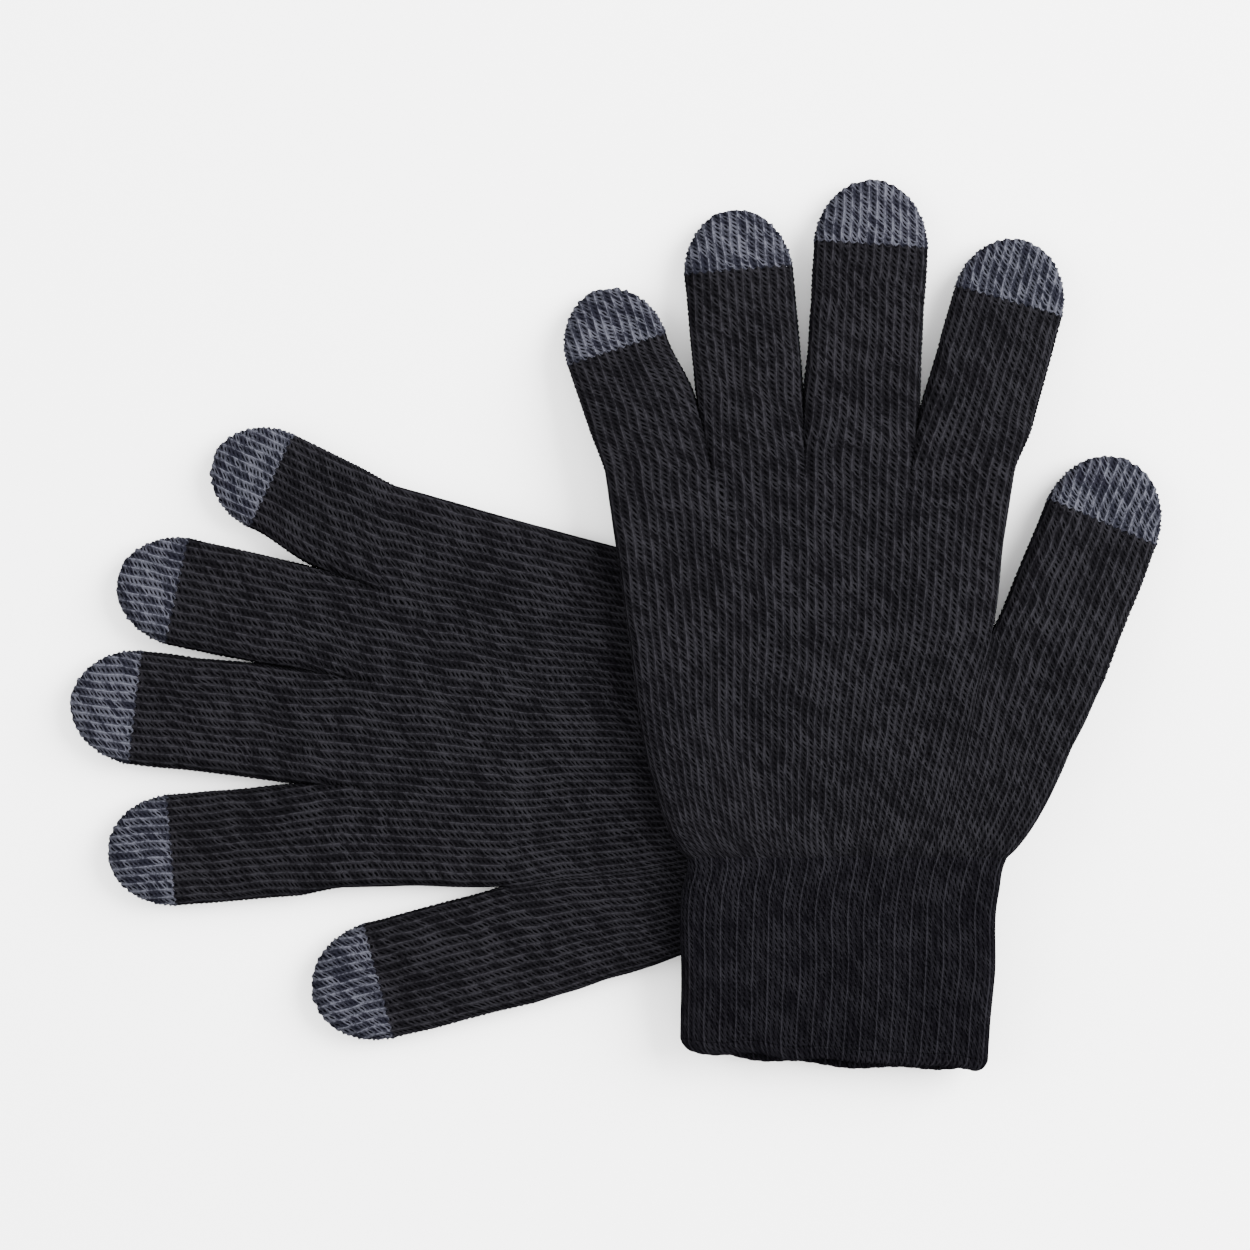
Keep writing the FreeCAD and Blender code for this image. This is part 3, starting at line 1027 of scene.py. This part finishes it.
    def build_welt(self) -> Piece:
        """Make the welt, which ends the ribs in a rounded edge.

        Returns:
            The new object.
        """
        weaver = Weaver(self.glove, 0.2)
        radius = (CUFF.wall + 0.4) / 2
        reach = CUFF.welt - radius
        turns = np.linspace(0, math.pi, 9)
        flat, rounded = np.linspace(0, reach, 6)[:-1], reach + radius * np.sin(turns)
        past = np.concatenate([flat, rounded, [0.0, 0.0]])
        inset = np.concatenate([np.zeros(5), radius * (1 - np.cos(turns)), [2 * radius, 0.0]])
        count = (GAUGE.palm_wales + DIGITS[Digit.THUMB].wales) * GAUGE.columns
        points = self.ring(1 + past, inset, count, trim=0.22)
        travel = np.cumsum(np.r_[0, np.hypot(np.diff(past), np.diff(inset))])
        courses = -(CUFF.long_side + travel) / GAUGE.cuff_course
        u, v = self.stitches(points, courses)
        points = weaver.relieve(points, u[:, :-1], v[:, :-1], True, True)
        points[-1] = points[0]
        name = f"{self.glove.side.label}_cuff_welt"
        return weaver.mesh(name, points, u, v, True, True, weld=True)

    def build_elastic(self) -> Piece:
        """Make the covered elastic threads that draw the ribs in.

        Returns:
            One object with all the threads.
        """
        threads = []
        for order in range(CUFF.threads):
            weaver = Weaver(self.glove, 0.03)
            turns = np.linspace(0, math.tau, 9)
            place = (CUFF.first_thread + CUFF.thread_pitch * order) / CUFF.long_side
            stations = place + CUFF.thread_radius * np.sin(turns) / CUFF.long_side
            inset = CUFF.wall + CUFF.thread_radius * (1 - np.cos(turns))
            points = self.ring(stations, inset, 90)
            points[-1] = points[0]
            u, v = self.stitches(points, turns + 20)
            name = f"{self.glove.side.label}_elastic"
            tile = 0, order / CUFF.threads, 1, 0.12
            threads.append(weaver.mesh(name, points, u, v, True, True, weld=True, tile=tile))
        return join(threads)


class Graph:
    """A shader node tree under construction."""

    def __init__(self, tree: bpy.types.NodeTree) -> None:
        self.tree = tree

    def add(self, kind: str, **settings: object) -> bpy.types.Node:
        """Add a node and set its properties.

        Args:
            kind: the node's type.
            **settings: its properties by name.

        Returns:
            The node.
        """
        node = self.tree.nodes.new(kind)
        for name, value in settings.items():
            setattr(node, name, value)
        return node

    def feed(self, socket: bpy.types.NodeSocket, value: Value) -> None:
        """Link a socket to an output, or set its value.

        Args:
            socket: the input.
            value: an output to link, or a plain value.
        """
        if isinstance(value, bpy.types.NodeSocket):
            self.tree.links.new(value, socket)
        else:
            socket.default_value = value

    def math(self, operation: str, *values: Value) -> bpy.types.NodeSocket:
        """Add a math node and return its output.

        Args:
            operation: what the node works out.
            *values: its inputs in order.

        Returns:
            The node's output.
        """
        node = self.add("ShaderNodeMath", operation=operation)
        for socket, value in zip(node.inputs, values):
            self.feed(socket, value)
        return node.outputs[0]

    def times(self, first: Value, second: Value) -> bpy.types.NodeSocket:
        """Multiply two values."""
        return self.math("MULTIPLY", first, second)

    def half_wave(self, angle: Value) -> bpy.types.NodeSocket:
        """Return a cosine wave that runs from 0 to 1."""
        return self.math("MULTIPLY_ADD", self.math("COSINE", angle), 0.5, 0.5)

    def ramp(self, value: Value, low: float, high: float) -> bpy.types.NodeSocket:
        """Return a smooth 0 to 1 ramp of a value.

        Args:
            value: what to ramp.
            low: where the ramp is 0.
            high: where the ramp is 1.

        Returns:
            The ramp's output.
        """
        node = self.add("ShaderNodeMapRange", interpolation_type="SMOOTHSTEP")
        self.feed(node.inputs["Value"], value)
        node.inputs["From Min"].default_value = low
        node.inputs["From Max"].default_value = high
        return node.outputs["Result"]

    def blend(self, share: Value, first: Value, second: Value) -> bpy.types.NodeSocket:
        """Mix two colours.

        Args:
            share: how much of the second one.
            first: the first colour.
            second: the second colour.

        Returns:
            The mixed colour.
        """
        node = self.add("ShaderNodeMix", data_type="RGBA")
        self.feed(node.inputs["Factor"], share)
        self.feed(node.inputs[6], first)
        self.feed(node.inputs[7], second)
        return node.outputs[2]

    def noise(self, vector: Value, scale: float, detail: float = 2.0) -> bpy.types.NodeSocket:
        """Return a noise texture's value.

        Args:
            vector: where to read the noise.
            scale: how fine it is.
            detail: how many finer layers it has.

        Returns:
            The noise, from 0 to 1.
        """
        node = self.add("ShaderNodeTexNoise")
        self.feed(node.inputs["Vector"], vector)
        node.inputs["Scale"].default_value = scale
        node.inputs["Detail"].default_value = detail
        return node.outputs["Fac"]

    def bell(self, value: Value, middle: float, width: float) -> bpy.types.NodeSocket:
        """Return a bell curve of a value.

        Args:
            value: what to read.
            middle: where the bell is 1.
            width: the bell's width.

        Returns:
            The bell's height.
        """
        offset = self.math("DIVIDE", self.math("SUBTRACT", value, middle), width)
        return self.math("EXPONENT", self.math("MULTIPLY", self.math("POWER", offset, 2.0), -1.0))

    def point(self, x: Value, y: Value) -> bpy.types.NodeSocket:
        """Combine two values into a vector.

        Args:
            x: the first value.
            y: the second value.

        Returns:
            The vector.
        """
        node = self.add("ShaderNodeCombineXYZ")
        self.feed(node.inputs["X"], x)
        self.feed(node.inputs["Y"], y)
        return node.outputs["Vector"]


KNIT_OUTPUTS = ("Height", "Gap", "Leg", "Tone", "Fibre")


def knit_group() -> bpy.types.NodeTree:
    """Make the node group that draws the knit from stitch coordinates.

    Returns:
        The group, with the outputs that the yarns read.
    """
    group = bpy.data.node_groups.new("Knit stitches", "ShaderNodeTree")
    face = group.interface
    face.new_socket("Stitch", in_out="INPUT", socket_type="NodeSocketVector")
    for name in KNIT_OUTPUTS:
        face.new_socket(name, in_out="OUTPUT", socket_type="NodeSocketFloat")
    graph = Graph(group)
    source = graph.add("NodeGroupInput")
    result = graph.add("NodeGroupOutput")
    parts = graph.add("ShaderNodeSeparateXYZ")
    graph.feed(parts.inputs[0], source.outputs["Stitch"])
    u, v = parts.outputs["X"], parts.outputs["Y"]
    fine = graph.noise(graph.point(graph.times(u, 1.1), graph.times(v, 0.8)), 1.0)
    shift = graph.math("SUBTRACT", fine, 0.5)
    u = graph.math("MULTIPLY_ADD", shift, 0.16, u)
    v = graph.math("MULTIPLY_ADD", shift, 0.45, v)
    wale = graph.math("FLOOR", u)
    across = graph.math("FRACT", u)
    phase = graph.math("MULTIPLY_ADD", across, STITCH.slant, v)
    stagger = graph.math("SINE", graph.times(wale, STITCH.stagger_turn))
    phase = graph.math("MULTIPLY_ADD", stagger, STITCH.stagger, phase)
    ribbed = graph.ramp(v, STITCH.rib_start, STITCH.rib_full)
    tone = graph.add("ShaderNodeTexWhiteNoise", noise_dimensions="2D")
    graph.feed(tone.inputs["Vector"], graph.point(wale, graph.math("ROUND", phase)))
    # Painted shade: the gap between the legs sinks the bump, and through the gap output it is
    # painted dark as shade in the colour.
    bell = graph.bell(across, STITCH.gap_place, STITCH.gap_width)
    wave = graph.half_wave(graph.times(phase, math.tau))
    gap = graph.times(bell, graph.math("POWER", wave, STITCH.gap_power))
    gap = graph.times(gap, graph.math("MULTIPLY_ADD", tone.outputs["Value"], 0.5, 0.65))
    # The legs raise the bump, and through the leg output they lighten the colour as a painted
    # highlight.
    near, far = (graph.bell(across, STITCH.leg_place + turn, STITCH.leg_line) for turn in (0, 1))
    leg = graph.math("ADD", near, far)
    column = graph.add("ShaderNodeTexWhiteNoise", noise_dimensions="1D")
    graph.feed(column.inputs["W"], wale)
    start = graph.times(column.outputs["Value"], 6.0)
    beat = graph.math("COSINE", graph.math("MULTIPLY_ADD", v, math.tau, start))
    leg = graph.times(leg, graph.math("MULTIPLY_ADD", beat, 0.3, 0.7))
    # In the rib, the standing wale's leg keeps its raised bump and painted highlight, while the
    # recessed wales' legs fade.
    third = graph.times(graph.math("MULTIPLY_ADD", u, 1 / 3, -0.03), math.tau)
    chosen = graph.math("MULTIPLY_ADD", graph.math("COSINE", third), 0.75, 0.25)
    plain = graph.math("SUBTRACT", 1.0, ribbed)
    chosen = graph.math("ADD", graph.times(chosen, ribbed), plain)
    leg = graph.times(leg, graph.math("MAXIMUM", chosen, 0.0))
    cord = graph.times(ribbed, graph.half_wave(third))
    height = graph.math("MULTIPLY_ADD", gap, -STITCH.gap_depth, STITCH.base)
    height = graph.math("MULTIPLY_ADD", leg, STITCH.leg_height, height)
    height = graph.math("MULTIPLY_ADD", cord, 0.5, height)
    fibre = graph.noise(graph.point(graph.times(u, 6.0), graph.times(phase, 6.0)), 1.0, 3.0)
    # Painted shade: the furrows between the ribs darken the colour through the gap output.
    furrow_shade = graph.times(ribbed, graph.math("SUBTRACT", 1.0, graph.half_wave(third)))
    graph.feed(result.inputs["Height"], height)
    graph.feed(result.inputs["Gap"], graph.math("MAXIMUM", gap, graph.times(furrow_shade, 0.16)))
    graph.feed(result.inputs["Leg"], leg)
    graph.feed(result.inputs["Tone"], tone.outputs["Value"])
    graph.feed(result.inputs["Fibre"], fibre)
    return group


@dataclass(frozen=True)
class Yarn:
    """A yarn's look.

    It has a colour of painted shade for the gaps between stitches, a colour for the loops
    and a lighter one, reached by the yarn's random tone and by a painted highlight on the legs,
    then how much single stitches differ, how strongly a painted highlight lightens the
    upright leg of each wale, and how strong the bump is.
    """

    name: str
    slot: str
    gap: tuple
    loop: tuple
    light: tuple
    mottle: float
    line: float
    bump: float

    def build(self, group: bpy.types.NodeTree) -> bpy.types.Material:
        """Make the yarn's material.

        Args:
            group: the node group that draws the stitches.

        Returns:
            The material.
        """
        material = bpy.data.materials.new(self.name)
        material.use_nodes = True
        graph = Graph(material.node_tree)
        shader = material.node_tree.nodes["Principled BSDF"]
        place = graph.add("ShaderNodeUVMap", uv_map="knit").outputs["UV"]
        knit = graph.add("ShaderNodeGroup", node_tree=group)
        graph.feed(knit.inputs["Stitch"], place)
        height, gap, leg, tone, fibre = (knit.outputs[name] for name in KNIT_OUTPUTS)
        patches = graph.noise(place, 0.13, 3.0)
        shade = graph.math("MULTIPLY_ADD", patches, 0.4, 0.3)
        shade = graph.math("MULTIPLY_ADD", graph.math("SUBTRACT", tone, 0.5), self.mottle, shade)
        # Painted highlight: the raised legs lighten the colour. The patches, tone and fibre terms
        # are the yarn's random tone.
        shade = graph.math("MULTIPLY_ADD", leg, self.line, shade)
        shade = graph.math("MULTIPLY_ADD", graph.math("SUBTRACT", fibre, 0.5), 1.5, shade)
        loops = graph.blend(graph.ramp(shade, 0.2, 1.25), (*self.loop, 1), (*self.light, 1))
        # Painted shade: the gaps between stitches and the furrows between ribs take the gap
        # colour.
        gap_shade = graph.ramp(graph.math("MULTIPLY_ADD", fibre, 0.3, gap), 0.25, 0.85)
        colour = graph.blend(gap_shade, loops, (*self.gap, 1))
        graph.feed(shader.inputs["Base Color"], colour)
        graph.feed(shader.inputs["Roughness"], graph.math("MULTIPLY_ADD", fibre, 0.2, 0.75))
        shader.inputs["Specular IOR Level"].default_value = 0.0
        bump = graph.add("ShaderNodeBump")
        bump.inputs["Strength"].default_value = self.bump
        bump.inputs["Distance"].default_value = 0.35 * MM
        graph.feed(bump.inputs["Height"], graph.math("MULTIPLY_ADD", fibre, 0.4, height))
        graph.feed(shader.inputs["Normal"], bump.outputs["Normal"])
        return material


# Each yarn's gap colour is painted shade for the hollows between its stitches.
DARK = Yarn(
    "Dark knit", "dark_knit",
    gap=(0.0005, 0.0005, 0.0006), loop=(0.0018, 0.0017, 0.0021), light=(0.0110, 0.0106, 0.0126),
    mottle=0.5, line=0.5, bump=0.5,
)
RIB = Yarn(
    "Ribbed knit", "rib_knit",
    gap=(0.0004, 0.0004, 0.0005), loop=(0.0011, 0.0010, 0.0014), light=(0.0094, 0.0090, 0.0110),
    mottle=0.35, line=0.85, bump=0.5,
)
WELT = replace(RIB, name="Welt knit", slot="hem_knit", line=0.7)
TIP = Yarn(
    "Tip knit", "tip_knit",
    gap=(0.0010, 0.0011, 0.0019), loop=(0.0046, 0.0047, 0.0072), light=(0.045, 0.046, 0.057),
    mottle=0.7, line=0.6, bump=0.7,
)
ELASTIC = Yarn(
    "Elastic thread", "elastic_thread",
    gap=(0.001, 0.001, 0.0012), loop=(0.002, 0.002, 0.0022), light=(0.005, 0.005, 0.0055),
    mottle=0.4, line=0.5, bump=0.3,
)


class Wardrobe:
    """The yarns' materials, made once and shared by every piece."""

    def __init__(self) -> None:
        group = knit_group()
        self.materials = {yarn.name: yarn.build(group) for yarn in (DARK, RIB, WELT, TIP, ELASTIC)}

    def dress(self, piece: Piece, yarn: Yarn) -> None:
        """Give a piece its yarn.

        Args:
            piece: the object to dress.
            yarn: its yarn.
        """
        piece.data.materials.clear()
        piece.data.materials.append(self.materials[yarn.name])


class GloveAssembly:
    """Builds and dresses every piece of one glove, and attaches the hand and the tips."""

    def __init__(self, side: Side, wardrobe: Wardrobe) -> None:
        self.side = side
        self.glove = Glove(side)
        self.wardrobe = wardrobe

    def build(self) -> None:
        """Make the glove's pieces and tie the hand and the tips to the frame's bodies."""
        label = self.side.label
        for piece in Hand(self.glove).build():
            self.wardrobe.dress(piece, DARK)
            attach(piece, f"{label}_hand")
            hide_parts(f"{label}_hand")
        for digit in Digit:
            self.build_stall(digit)
        self.build_cuff()

    def build_stall(self, digit: Digit) -> None:
        """Make one stall and its tip.

        Args:
            digit: the stall.
        """
        label = self.side.label
        tube, tip = Stall(self.glove, digit).build()
        self.wardrobe.dress(tube, DARK)
        self.wardrobe.dress(tip, TIP)
        x, y = self.glove.root(digit)
        angle = math.radians(HAND.root_angle if digit is Digit.THUMB else 0)
        reach = 12.0
        start = self.glove.point(x, y, 0)
        end = self.glove.point(x + reach * math.sin(angle), y + reach * math.cos(angle), 0)
        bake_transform(tube)
        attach(tip, f"{label}_{digit.value}")
        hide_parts(f"{label}_{digit.value}_stall")
        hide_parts(f"{label}_{digit.value}_tip")

    def build_cuff(self) -> None:
        """Make the cuff's pieces."""
        label = self.side.label
        cuff = Cuff(self.glove)
        pieces = (
            (cuff.build_ribs(), RIB, "cuff"),
            (cuff.build_welt(), WELT, "cuff_hem"),
            (cuff.build_elastic(), ELASTIC, "cuff_elastic"),
        )
        start = self.glove.point(0, CUFF.tuck, 0)
        end = self.glove.point(0, -9.0, 0)
        for piece, yarn, node in pieces:
            self.wardrobe.dress(piece, yarn)
            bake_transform(piece)
            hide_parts(f"{label}_{node}")


class Studio:
    """A pale floor, soft light from above and a camera looking straight down."""

    width = 0.2966
    lens = 100.0
    sensor = 36.0
    aim = (0.0018, -0.0013)

    def build(self) -> None:
        """Make the floor, the lights, the world and the camera."""
        bpy.ops.mesh.primitive_plane_add(size=6.0, location=(0, 0, 0))
        floor = bpy.context.object
        floor.name = "floor"
        paper = bpy.data.materials.new("Pale paper")
        paper.use_nodes = True
        shader = paper.node_tree.nodes["Principled BSDF"]
        shader.inputs["Base Color"].default_value = (0.92, 0.92, 0.92, 1)
        shader.inputs["Roughness"].default_value = 0.9
        floor.data.materials.append(paper)
        self.lamp("right", (1.2, 0.5, 1.0), 1.2, 150.0)
        self.lamp("left", (-1.4, 0.3, 1.1), 1.3, 45.0)
        world = bpy.data.worlds.new("Soft room")
        world.use_nodes = True
        world.node_tree.nodes["Background"].inputs["Color"].default_value = (1, 1, 1, 1)
        world.node_tree.nodes["Background"].inputs["Strength"].default_value = 3.0
        bpy.context.scene.world = world
        data = bpy.data.cameras.new("camera")
        data.lens = self.lens
        data.sensor_width = self.sensor
        camera = bpy.data.objects.new("camera", data)
        height = self.width * self.lens / self.sensor
        camera.location = (*self.aim, height + CAD_BOX[1][2] / 2)
        bpy.context.scene.collection.objects.link(camera)
        bpy.context.scene.camera = camera

    def lamp(self, name: str, place: tuple, size: float, power: float) -> None:
        """Add a square area light that faces the gloves.

        Args:
            name: the lamp's name.
            place: where it hangs, in metres.
            size: its side, in metres.
            power: its power, in watts.
        """
        data = bpy.data.lights.new(name, "AREA")
        data.size = size
        data.energy = power
        lamp = bpy.data.objects.new(name, data)
        lamp.location = place
        lamp.rotation_euler = (-Vector(place)).to_track_quat("-Z", "Y").to_euler()
        bpy.context.scene.collection.objects.link(lamp)


def main() -> None:
    """Build the studio and both gloves."""
    logging.basicConfig(level=logging.INFO)
    Studio().build()
    wardrobe = Wardrobe()
    for side in Side:
        GloveAssembly(side, wardrobe).build()


if __name__ == "__main__":
    main()
